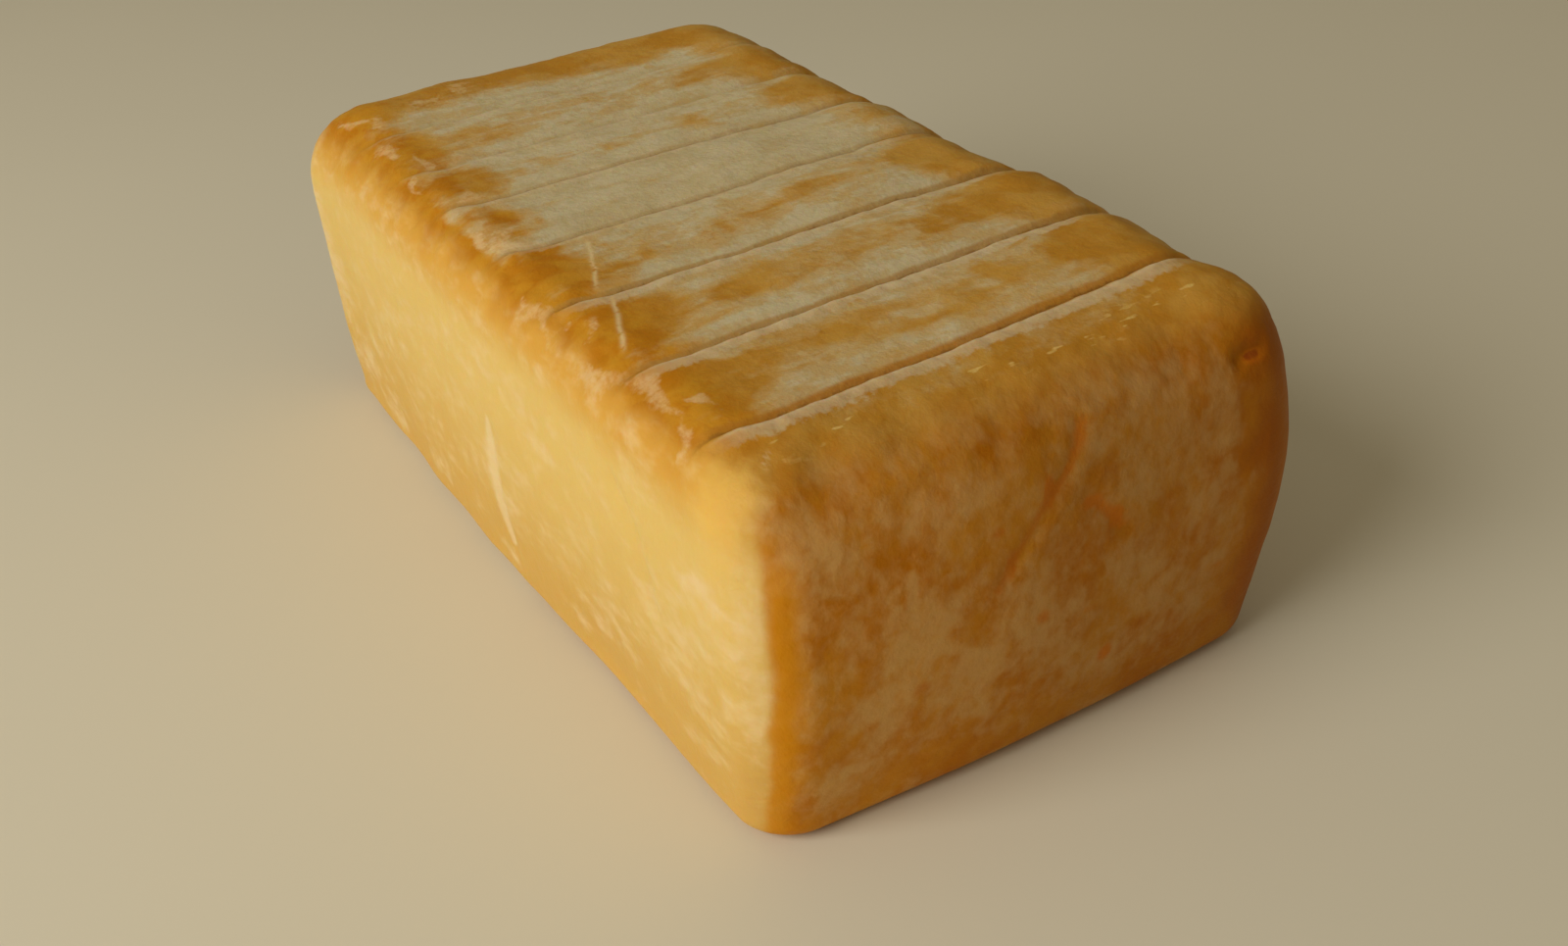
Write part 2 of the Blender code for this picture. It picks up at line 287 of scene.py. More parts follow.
class Loaf:
    """The fine loaf's points in metres, with what its relief and colours come from, in mm."""

    def __init__(self, square):
        self.points, self.normals = onto_block(square)
        self.points[:, 0] += groove_shift(self.points[:, 0], self.points[:, 1])
        belly(self.points)
        self.x, self.y, self.z = (self.points / MM).T
        self.up = np.maximum(self.normals[:, 2], 0.0)
        self.front = np.maximum(self.normals[:, 0], 0.0)
        self.back = np.maximum(-self.normals[:, 0], 0.0)
        self.left = np.maximum(-self.normals[:, 1], 0.0)
        self.right = np.maximum(self.normals[:, 1], 0.0)
        self.wide = perlin(self.points, WIDE_SPAN, WIDE_SEED)
        self.middle = perlin(self.points, MIDDLE_SPAN, MIDDLE_SEED)
        self.fine = perlin(self.points, FINE_SPAN, FINE_SEED)
        self.line = self.x - groove_shift(self.points[:, 0], self.points[:, 1]) / MM
        self.across = self.groove_offsets()
        self.bent_x = self.bent(self.x, BEND_X)
        self.bent_y = self.bent(self.y, BEND_Y)
        self.bent_z = self.bent(self.z, BEND_Z)
        self.vein, self.vein_strength = self.vein_offsets()

    def bent(self, places, waves):
        """Places along one axis, shifted by noise so that patches get uneven outlines."""
        for height, span, seed in waves:
            places = places + height * perlin(self.points, span, seed)
        return places

    def groove_offsets(self):
        """Distance in mm from each groove's wandering line, one row for each groove."""
        rows = []
        for index, place in enumerate(groove_places()):
            zero = np.zeros_like(self.y)
            along = np.stack([zero, self.points[:, 1], zero + index * WANDER_SPACING], 1)
            wander = sum(height * perlin(along, span, seed) for height, span, seed in WANDERS)
            hook = GROOVE_HOOK * ease(19.5, 25.5, -self.y)
            shift, lean = GROOVE_DRIFTS[index]
            rows.append(self.line - place / MM - shift - lean * self.y - wander + hook)
        return rows

    def vein_offsets(self):
        """Signed distance in mm along y to the nearer vein, and how strong the vein is there."""
        offset, strength = np.full(len(self.x), 9.0), np.zeros(len(self.x))
        for start, bend, end in VEINS:
            t = (self.x - start[0]) / (end[0] - start[0])
            line = (1 - t) ** 2 * start[1] + 2 * t * (1 - t) * bend[1] + t * t * end[1]
            here = (t > -0.1) & (t < 1.1)
            offset = np.where(here, self.y - line - 0.25 * self.middle, offset)
            strength = np.where(here, ease(-0.02, 0.15, t) * (1.0 - ease(0.85, 1.02, t)), strength)
        return np.clip(offset, -4.0, 4.0), strength

    def groove_ends(self):
        """1 along the grooves, running out to 0 at the -Y rim."""
        return 1.0 - ease(*GROOVE_FADE, -self.y)


def groove_relief(loaf):
    """Height in mm of the grooves, and of the pillows of rind between them."""
    height = np.zeros(len(loaf.x))
    rim = ease(*FAR_RIM_ZONE, loaf.y)
    for offset, deep in zip(loaf.across, GROOVE_DEPTHS):
        half_width = SLOT_HALF_WIDTH + RIM_SLOT_WIDENING * rim
        slot = np.exp(-(np.abs(offset / half_width) ** SLOT_POWER)) * (SLOT_SHARE + RIM_SLOT_SHARE * rim)
        fall = FALL_SHARE * ease(FALL_FROM, 0.0, offset) * (1.0 - ease(0.1, 0.8, offset)) * (1.0 - rim)
        dip = DIP_SHARE * rim * bell(offset, DIP_HALF_WIDTH)
        lip = bell(offset - LIP_PLACE, LIP_HALF_WIDTH) * (LIP_SHARE + LIP_UNEVEN * loaf.fine)
        height += deep * (lip * (1.0 - rim) - slot - fall - dip)
    places = [place / MM for place in groove_places()]
    crown = PILLOW_RISE * ease(*PILLOW_FADE, loaf.y) + LEAST_PILLOW
    for front, back in zip(places, places[1:]):
        share = np.clip((loaf.line - back) / (front - back), 0.0, 1.0)
        height += crown * (1.0 - np.abs(2.0 * share - 1.0) ** 3)
    return height * loaf.groove_ends()


def crease_relief(across, up, creases):
    """Height in mm of creases along bent lines; a crease of negative depth is a ridge."""
    height = np.zeros(len(across))
    for start, bend, end, depth, half_width in creases:
        height -= depth * bell(curve_distance(across, up, start, bend, end), 0.75 * half_width)
    return height


def lumps(loaf):
    """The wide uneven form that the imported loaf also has, in mm."""
    total = np.zeros(len(loaf.x))
    for height, span in LUMPS:
        scaled = loaf.points / (span * MM)
        total += height * np.array([noise.noise(Vector(place) + LUMP_SEED) for place in scaled])
    return total


def swells(loaf):
    """Round swells and dents, in mm."""
    height = np.zeros(len(loaf.x))
    for middle, rise, reach in SWELLS:
        gap = np.linalg.norm(loaf.points / MM - np.array(middle), axis=1)
        height += rise * bell(gap, reach)
    return height


def skin_relief(loaf):
    """Shallow wrinkles, folds, rim lumps, veins and scars of the rind, in mm."""
    upright_folds = perlin(loaf.points, (1.4, 1.4, 4.5), UPRIGHT_FOLD_SEED)
    cross_folds = perlin(loaf.points, (1.2, 4.0, 2.5), CROSS_FOLD_SEED)
    relief = (WRINKLE_RISE + WRINKLE_RISE_ON_TOP * loaf.up) * loaf.middle + GRAIN_RISE * loaf.fine
    relief += UPRIGHT_FOLD_RISE * upright_folds * (loaf.front + loaf.back + loaf.left + loaf.right)
    relief += CROSS_FOLD_RISE * cross_folds * loaf.up
    rim = ease(0.15, 0.5, loaf.up) * (1.0 - ease(0.85, 0.98, loaf.up))
    rim_lumps = (perlin(loaf.points, 4.5, RIM_SEED), loaf.middle, loaf.fine)
    relief += rim * sum(rise * lump for rise, lump in zip(RIM_LUMP_RISES, rim_lumps))
    relief += VEIN_RISE * bell(loaf.vein, VEIN_RELIEF_REACH) * loaf.vein_strength * loaf.up
    for middle, radius in SCARS:
        gap = np.linalg.norm(loaf.points / MM - np.array(middle), axis=1)
        relief += SCAR_RISE * bell(gap - radius, 0.35) - SCAR_DIP * bell(gap, 0.6 * radius)
    return relief


def place_points(loaf):
    """The loaf's points with all their relief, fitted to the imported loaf's size."""
    on_base = loaf.normals[:, 2] < -0.999
    relief = lumps(loaf) + swells(loaf) + skin_relief(loaf)
    relief += groove_relief(loaf) * loaf.up**2
    relief += crease_relief(loaf.y, loaf.z, END_CREASES) * loaf.front
    relief += crease_relief(loaf.x, loaf.z, SIDE_CREASES) * loaf.left
    relief *= np.where(on_base, 0.0, ease(0.0, 3.0, loaf.z))
    foot = loaf.left * (1.0 - 0.7 * ease(2.0, 9.0, loaf.x))
    relief += FOOT_RISE * bell(loaf.z - 1.5, 0.7) * foot * (1.0 + 0.8 * loaf.wide)
    relief *= MM
    places = loaf.points + loaf.normals * relief[:, None]
    level = np.array([1.0, 1.0, 0.0])
    low, high = places.min(0), places.max(0)
    middle = (low + high) / 2 * level
    return (places - middle) * np.array([LENGTH, WIDTH, HEIGHT]) / (high - low * level)


# ---------------------------------------------------------------- the mesh
def stations_along_x():
    """Mesh lines along the length, closer together at the grooves."""
    places, x = [], -HALF_X
    while x < HALF_X:
        places.append(x)
        nearest = min(abs(x - groove) for groove in groove_places())
        x += FINE_STEP if nearest < GROOVE_REACH else PLAIN_STEP
    if HALF_X - places[-1] < FINE_STEP / 2:
        places.pop()
    return np.array(places + [HALF_X])


def even_stations(low, high, step):
    return np.linspace(low, high, int(round((high - low) / step)) + 1)


def block_mesh():
    """Points and faces of the square block: a wall, a top grid, and rings down to one base face."""
    xs = stations_along_x()
    ys = even_stations(-HALF_Y, HALF_Y, STEP_ACROSS)
    zs = even_stations(0.0, HEIGHT, STEP_UP)
    rim = [(x, -HALF_Y) for x in xs[:-1]] + [(HALF_X, y) for y in ys[:-1]]
    rim += [(x, HALF_Y) for x in xs[:0:-1]] + [(-HALF_X, y) for y in ys[:0:-1]]
    rim = np.array(rim)
    count = len(rim)
    rings = []
    for step in range(BASE_RINGS, 0, -1):
        inset = BASE_RADIUS * step / BASE_RINGS
        shrink = np.array([(HALF_X - inset) / HALF_X, (HALF_Y - inset) / HALF_Y])
        rings.append(np.column_stack([rim * shrink, np.zeros(count)]))
    rings += [np.column_stack([rim, np.full(count, z)]) for z in zs]
    points = [np.concatenate(rings)]
    faces = [list(range(count))[::-1]]
    index = np.arange(count)
    for ring in range(len(rings) - 1):
        low, high = index + ring * count, index + (ring + 1) * count
        faces += np.column_stack([low, np.roll(low, -1), np.roll(high, -1), high]).tolist()
    start = len(rings) * count
    grid_x, grid_y = np.meshgrid(xs, ys, indexing="ij")
    points.append(np.column_stack([grid_x.ravel(), grid_y.ravel(), np.full(grid_x.size, HEIGHT)]))
    cell = start + np.arange(grid_x.size).reshape(grid_x.shape)
    corners = [cell[:-1, :-1], cell[1:, :-1], cell[1:, 1:], cell[:-1, 1:]]
    faces += np.column_stack([corner.ravel() for corner in corners]).tolist()
    points = np.concatenate(points)
    rounded = np.round(points, 8)
    _, first, joined = np.unique(rounded, axis=0, return_index=True, return_inverse=True)
    joined = joined.ravel()
    return points[first], [[int(joined[i]) for i in face] for face in faces]


# ---------------------------------------------------------------- where the colours lie, in mm
# Bare patches in the bloom: x, y, half length, half width, and how bare
BARE_PATCHES = (
    (35.0, 17.5, 5.0, 4.6, 1.0), (33.3, 8.0, 2.0, 2.2, 0.85), (36.6, -1.5, 1.1, 5.6, 0.45),
    (33.8, -10.0, 1.4, 6.0, 0.8), (33.6, -16.0, 1.3, 2.6, 0.7), (37.4, -17.4, 1.7, 1.6, 0.6),
    (35.5, -21.0, 5.0, 1.6, 1.0),
    (21.2, 15.0, 3.4, 6.6, 1.0), (22.0, 8.0, 2.2, 1.8, 0.7), (21.6, 2.0, 2.2, 2.4, 0.4),
    (22.2, -9.6, 2.3, 5.2, 0.95), (21.4, -17.6, 3.4, 2.6, 0.85),
    (9.0, 18.0, 4.6, 3.4, 0.85), (9.0, 5.2, 3.0, 2.6, 0.45),
    (10.0, 0.0, 2.0, 2.0, 0.45),
    (10.2, -5.0, 1.5, 1.3, 0.5), (10.4, -13.2, 2.2, 0.9, 0.7), (13.0, -17.0, 2.3, 2.4, 0.95),
    (6.6, -15.8, 1.8, 0.8, 0.6), (8.6, -20.6, 5.0, 1.6, 0.9),
    (-1.6, -17.4, 2.2, 0.8, 0.75), (-5.0, -14.6, 1.4, 0.8, 0.6), (-4.6, -20.2, 1.8, 1.8, 0.8),
    (-14.4, 16.6, 4.0, 4.6, 1.0), (-14.2, 4.8, 2.6, 2.0, 0.85), (-14.4, -4.4, 1.3, 1.0, 0.6),
    (-15.8, -11.6, 2.2, 1.4, 0.4), (-13.4, -15.0, 1.3, 1.3, 0.8), (-14.0, -18.4, 4.6, 1.9, 0.9),
    (-26.2, 15.6, 4.2, 5.4, 0.85), (-27.8, 7.0, 2.2, 1.6, 0.6), (-26.0, -14.4, 3.2, 4.4, 0.75),
    (-26.4, -20.0, 4.6, 1.8, 0.95), (-38.8, 9.5, 4.0, 5.6, 0.9), (-37.0, 18.0, 4.6, 3.0, 0.8),
)
# How much bloom the middle of each strip carries, from the +X end; the grooves have more beside them
STRIP_COVER = (0.0, 0.26, 0.44, 0.56, 1.00, 0.74, 0.64, 0.66)
GROOVE_BLOOM = 0.30
BARE_DEPTH = 0.62
# Where the bloom thins out: how much, and between which distances from the middle in mm
THIN_AT_FAR_RIM = (0.75, 12.0, 21.0)
THIN_AT_NEAR_RIM = (0.9, 16.0, 22.0)
THIN_AT_FAR_END = (1.0, 35.5, 43.0)
# The pale lip in front of each groove: distance of its middle from the groove, half width, strength
LIPS = (
    (1.45, 0.95, 1.0), (1.40, 0.90, 0.95), (1.30, 0.85, 0.95), (0.9, 0.6, 0.6),
    (0.95, 0.65, 0.75), (0.9, 0.6, 0.6), (0.8, 0.6, 0.5),
)
# Pinkish frost, most of it along the -Y rim: x, y, half length, half width
FROST = (
    (36.6, -22.5, 2.0, 0.4), (0.6, -22.0, 2.8, 1.1), (-11.0, -21.4, 2.2, 0.7), (-22.6, -21.6, 3.0, 0.7),
    (-36.6, -21.0, 2.6, 1.2), (-18.6, -23.6, 3.0, 0.6), (-2.0, -24.0, 2.6, 0.8), (33.0, -25.0, 4.0, 1.0),
    (25.0, -25.6, 4.0, 1.0), (14.0, -25.4, 4.0, 0.8), (39.0, -25.6, 2.0, 0.5), (44.6, -21.2, 1.2, 0.5),
    (20.0, -24.4, 1.6, 0.8), (-28.0, -24.0, 3.0, 0.7), (-40.0, -22.6, 2.6, 0.9),
    (-39.0, -15.0, 2.4, 2.8), (-41.5, -10.0, 2.0, 2.0), (3.0, -19.8, 1.5, 0.9),
)
# A peeled streak on the -Y side, as (x, z); it is widest at half its height
STREAK = ((3.2, 20.0), (0.8, 12.5), (2.8, 5.5))
STREAK_LEAST_HALF_WIDTH = 0.35
STREAK_SWELL = 1.0
# Hazy pinkish patches: on the +X end as y, z and on the -Y side as x, z, with half sizes and strength
END_HAZE = (
    (-13.5, 18.5, 3.6, 3.6, 0.8), (-16.5, 12.5, 4.0, 3.4, 0.8), (-4.5, 17.0, 3.6, 4.0, 0.7),
    (-9.0, 12.5, 4.0, 3.6, 0.9), (-1.0, 13.0, 4.4, 4.0, 0.8), (8.0, 16.0, 4.0, 5.0, 0.6),
    (15.0, 18.5, 3.6, 5.0, 0.7), (-8.5, 8.5, 4.0, 2.2, 0.6), (3.5, 8.5, 4.0, 2.6, 0.5),
    (13.5, 27.5, 5.4, 4.6, 0.6), (7.6, 25.0, 3.0, 4.6, 0.6), (-20.0, 5.5, 4.6, 3.2, 0.5),
    (-22.0, 23.0, 2.6, 6.0, 0.35), (12.0, 10.0, 4.0, 3.0, 0.45),
    (-8.0, 29.5, 6.0, 2.2, 0.45), (6.5, 30.5, 5.0, 3.4, 0.8), (-21.5, 28.5, 4.0, 3.0, 0.8),
)
SIDE_HAZE = (
    (40.0, 14.0, 7.0, 5.5, 0.35), (37.0, 17.0, 5.0, 3.4, 0.4), (45.0, 20.0, 4.0, 7.0, 0.5),
    (22.0, 7.5, 3.4, 1.6, 0.9), (26.0, 10.0, 3.0, 1.8, 0.8), (-40.0, 6.0, 5.0, 5.0, 0.7),
    (-32.0, 4.0, 6.0, 1.8, 0.9), (-16.0, 4.4, 4.0, 1.4, 0.8), (1.0, 3.6, 2.6, 1.1, 1.0),
    (-47.0, 20.0, 5.0, 12.0, 0.7), (10.0, 27.0, 10.0, 2.6, 0.3), (17.0, 5.0, 1.8, 1.2, 0.6),
)
# How hazy the ends are all over, and how much the patches and, on hidden sides, noise add to it
END_VEIL = 0.27
END_HAZE_SHARE = 0.6
SIDE_HAZE_SHARE = 0.8
HIDDEN_HAZE_SHARE = 0.5
# The pale lobe at the near top corner, partly the rind's paler colour and partly a painted highlight
PALE_CORNER = (46.5, -25.2, 31.0)
PALE_REACH = 5.2
# Reddish spots on the +X end: y, z, half sizes, strength
END_SPOTS = (
    (2.6, 24.7, 1.1, 0.6, 0.9), (5.0, 22.4, 0.8, 1.1, 1.0), (-1.5, 27.0, 0.6, 1.6, 0.9),
    (-5.2, 22.0, 0.6, 1.4, 0.8),
    (5.0, 8.3, 0.8, 1.0, 0.8), (-2.2, 15.7, 0.8, 0.9, 0.6), (2.6, 14.4, 0.9, 0.6, 0.4),
    (-13.4, 13.6, 1.0, 0.7, 0.5), (-6.3, 25.3, 0.9, 0.6, 0.6), (17.0, 12.4, 0.9, 0.7, 0.35),
    (-9.2, 10.2, 0.9, 0.5, 0.35), (20.4, 30.8, 1.5, 0.6, 0.6),
)
# The dark notch high on the end: y, z, half sizes, strength
NOTCH = (20.3, 30.9, 1.0, 0.35, 0.9)
# Reddish lines along the creases of the end, as (y, z): start, bend, end, half width, strength
END_MARKS = (
    ((2.4, 31.0), (0.2, 27.4), (-1.8, 26.2), 0.60, 0.70),
    ((-1.8, 26.2), (-4.0, 23.6), (-6.4, 20.0), 0.60, 0.55),
    ((2.4, 24.8), (4.2, 23.6), (5.6, 21.4), 0.60, 0.75),
)


def fade(value, row):
    """An amount that grows from 0 between two places."""
    amount, start, full = row
    return amount * ease(start, full, value)


def patches(across, up, rows):
    """Soft ellipses laid over each other; the last value of a row is its strength."""
    cover = np.zeros(len(across))
    for place_a, place_b, half_a, half_b, strength in rows:
        gap = np.hypot((across - place_a) / half_a, (up - place_b) / half_b)
        cover = np.maximum(cover, strength * (1.0 - ease(0.35, 1.5, gap)))
    return cover


def bloom_cover(loaf):
    """How thick the grey-cream bloom tends to lie on the top, from 0 to about 1."""
    cover = np.zeros(len(loaf.x))
    beside = GROOVE_BLOOM * (1.0 - ease(1.6, 5.0, np.abs(loaf.across).min(0)))
    for offset, amount in zip(loaf.across, STRIP_COVER[1:]):
        cover = np.where(offset < 0.0, amount + beside, cover)
    cover -= BARE_DEPTH * patches(loaf.bent_x, loaf.bent_y, BARE_PATCHES)
    cover -= fade(loaf.y, THIN_AT_FAR_RIM) + fade(-loaf.y, THIN_AT_NEAR_RIM)
    cover -= fade(-loaf.x, THIN_AT_FAR_END)
    on_top = ease(0.70, 0.95, loaf.up)
    return np.clip(cover, -1.0, 1.3) * on_top - (1.0 - on_top)


def nearest_groove(loaf):
    """Signed distance in mm to the nearest groove, and that groove's number at each point."""
    rows = np.array(loaf.across)
    middle = np.abs(rows - 0.8)
    number = middle.argmin(0)
    return rows[number, np.arange(len(number))], number


def groove_fields(loaf):
    """Place across the dark cut in mm, across the pale lip as a share of it, and how these show."""
    offset, number = nearest_groove(loaf)
    cut_half, cut_strength, cut_dull = np.array(CUTS)[number].T
    cut_strength = cut_strength * loaf.groove_ends() * ease(0.4, 0.9, loaf.up)
    lip_middle, lip_half, lip_strength = np.array(LIPS)[number].T
    ends = (1.0 - ease(20.5, 25.5, -loaf.y)) * (1.0 - ease(17.5, 22.5, loaf.y))
    lip_strength = lip_strength * ends * ease(0.55, 0.95, loaf.up)
    close = 1.0 - ease(3.5, 4.5, np.abs(offset))
    lip = np.clip((offset - lip_middle) / lip_half, -4.0, 4.0)
    return {
        "groove": np.clip(offset, -4.0, 4.0),
        "cut_half": cut_half,
        "cut_strength": cut_strength * close,
        "cut_dull": cut_dull,
        "lip": lip,
        "lip_strength": lip_strength * close,
    }


def frost_cover(loaf):
    """Frost in its patches, and less than none away from them."""
    cover = patches(loaf.bent_x, loaf.bent_y, [(*row, 1.0) for row in FROST])
    return cover * ease(0.1, 0.6, loaf.up) - 0.3 * (cover < 0.02)


def mark_cover(loaf):
    """Reddish marks and spots on the +X end."""
    cover = patches(loaf.y, loaf.z, END_SPOTS)
    for start, bend, end, half_width, strength in END_MARKS:
        gap = curve_distance(loaf.y, loaf.z, start, bend, end)
        cover = np.maximum(cover, strength * bell(gap, half_width * (1.0 + 0.35 * loaf.middle)))
    return cover * ease(0.3, 0.8, loaf.front)


def notch_cover(loaf):
    """The dark notch high on the +X end."""
    return patches(loaf.y, loaf.z, (NOTCH,)) * ease(0.3, 0.8, loaf.front)


def foot_cover(loaf):
    """The paler torn foot, along the -X part of the loaf's base, partly painted light where its lip
    catches light from the floor.
    """
    return (1.0 - ease(1.0, 2.2, loaf.z)) * (1.0 - ease(2.0, 9.0, loaf.x))


def haze_cover(loaf):
    """Hazy paler patches, placed on the sides that are known and scattered on the others."""
    front = END_VEIL + END_HAZE_SHARE * patches(loaf.bent_y, loaf.bent_z, END_HAZE)
    front -= 0.8 * ease(16.0, 21.0, loaf.bent_y) + 0.3 * (1.0 - ease(3.0, 8.0, loaf.bent_z))
    left = SIDE_HAZE_SHARE * patches(loaf.bent_x, loaf.bent_z, SIDE_HAZE)
    left -= 0.35 * (1.0 - ease(3.0, 10.0, loaf.bent_z))
    hidden = END_VEIL + HIDDEN_HAZE_SHARE * loaf.wide
    share_front, share_left = ease(0.2, 0.6, loaf.front), ease(0.45, 0.7, loaf.left)
    seen = front * share_front + left * share_left - 0.3 * near_corner(loaf)
    return np.where(loaf.front + loaf.left > 0.15, seen, hidden)


def near_corner(loaf):
    """1 in the middle of the pale lobe at the near top corner, 0 away from it. The lobe is partly the
    rind's paler colour and partly a painted highlight.
    """
    places = np.stack([loaf.bent_x, loaf.bent_y, loaf.bent_z], 1)
    gap = np.linalg.norm(places - np.array(PALE_CORNER), axis=1)
    return bell(gap, PALE_REACH) * (1.0 - ease(0.45, 0.95, loaf.front))


def front_rim_cover(loaf):
    """Where short pale flecks lie, just in front of the first groove: partly pale bits, partly painted
    wet glints.
    """
    return bell(loaf.x - 45.0, 1.3) * ease(0.6, 0.9, loaf.up) * (1.0 - ease(19.0, 24.0, np.abs(loaf.y)))


def side_cover(loaf):
    """Where the yellower colour of the sides lies: all of the -Y side, and half as much at +Y."""
    # The side colour also spreads over the pale lobe, partly a painted highlight
    known = np.maximum(ease(0.52, 0.74, loaf.left), 0.9 * near_corner(loaf))
    return known + 0.45 * ease(0.15, 0.75, loaf.right)


def side_rim_cover(loaf):
    """The deep orange zone along the -Y upper edge, in tongues that reach down over the edge."""
    from_top = ease(17.5, 21.0, -loaf.y + 1.0 * loaf.wide + 0.6 * loaf.middle)
    tongues = perlin(loaf.points, (4.2, 9.0, 9.0), TONGUE_SEED)
    tongues += 0.5 * perlin(loaf.points, (1.8, 6.0, 6.0), FINE_TONGUE_SEED)
    over_edge = 1.0 - ease(0.48, 0.98, loaf.left - 0.18 * tongues)
    off_the_end = 1.0 - ease(0.15, 0.50, loaf.front)
    on_upper_half = ease(0.0, 0.2, loaf.up)
    return from_top * over_edge * on_upper_half * off_the_end * (1.0 - near_corner(loaf))


def painted_edge_shade_cover(loaf):
    """Painted shade: darker towards the +Y edge of the end, most of all on the edge itself, where the
    light falls off.
    """
    shade = 0.10 * ease(4.0, 18.0, loaf.y) + 0.90 * ease(17.5, 22.5, loaf.bent_y)
    near_the_end = ease(34.0, 50.0, loaf.bent_x)
    return shade * near_the_end * (1.0 - ease(0.45, 0.85, loaf.up))


def shade_cover(loaf):
    """Painted shade: the end is dimmed towards +Y and near its top, where less light falls on it."""
    shade = ease(-20.0, 6.0, loaf.y) + 0.35 * ease(27.0, 32.0, loaf.z)
    return np.minimum(shade, 1.0) * ease(0.2, 0.7, loaf.front)


def upright_edge_cover(loaf):
    """Painted shade and glow: saturated orange along the shoulders of the upright edges, where the light
    turns away, mostly on the lit -Y side.

    turn is the angle round the edge, from 0 on the long side to pi / 2 on the end."""
    turn = np.arctan2(loaf.front + loaf.back, loaf.left + loaf.right + 1e-6)
    turn += 0.08 * loaf.middle + 0.28 * (1.0 - ease(0.0, 24.0, loaf.z))
    band = ease(0.80, 1.02, turn) * (1.0 - ease(1.14, 1.44, turn))
    brighter_side = 1.0 - 0.85 * ease(-5.0, 5.0, loaf.y)
    return band * brighter_side * (1.0 - ease(26.0, 31.0, loaf.bent_z))


def streak_distance(loaf):
    """Distance to the peeled streak on the -Y side, as a share of its tapering half width."""
    gap = curve_distance(loaf.x, loaf.z, *STREAK)
    half_width = STREAK_LEAST_HALF_WIDTH + STREAK_SWELL * bell(loaf.z - 12.5, 5.5)
    return gap / half_width + 9.0 * (1.0 - loaf.left)


def write_field(mesh, name, values):
    """Give each point of the mesh a value that the material reads by name."""
    field = mesh.attributes.new(name, "FLOAT", "POINT")
    field.data.foreach_set("value", np.asarray(values, np.float32))


def build_loaf():
    """The loaf's mesh, with the fields that place its colours."""
    square, faces = block_mesh()
    loaf = Loaf(square)
    places = place_points(loaf)
    mesh = bpy.data.meshes.new("limburger_loaf")
    mesh.from_pydata(places.tolist(), [], faces)
    mesh.shade_smooth()
    fields = {
        **groove_fields(loaf),
        "bloom": bloom_cover(loaf),
        "vein": loaf.vein,
        "vein_strength": loaf.vein_strength,
        "frost": frost_cover(loaf),
        "mark": mark_cover(loaf),
        "lobe": near_corner(loaf),
        "notch": notch_cover(loaf),
        "haze": haze_cover(loaf),
        "rim": side_rim_cover(loaf),
        "edge": upright_edge_cover(loaf),
        "side": side_cover(loaf),
        "top": ease(0.55, 0.95, loaf.up),
        "foot": foot_cover(loaf),
        "front_rim": front_rim_cover(loaf),
        "streak": streak_distance(loaf),
        "height": loaf.z,
        "painted_edge_shade": painted_edge_shade_cover(loaf),
        "shade": shade_cover(loaf),
    }
    for name, values in fields.items():
        write_field(mesh, name, values)
    piece = bpy.data.objects.new("limburger_loaf", mesh)
    bpy.context.scene.collection.objects.link(piece)
    return piece


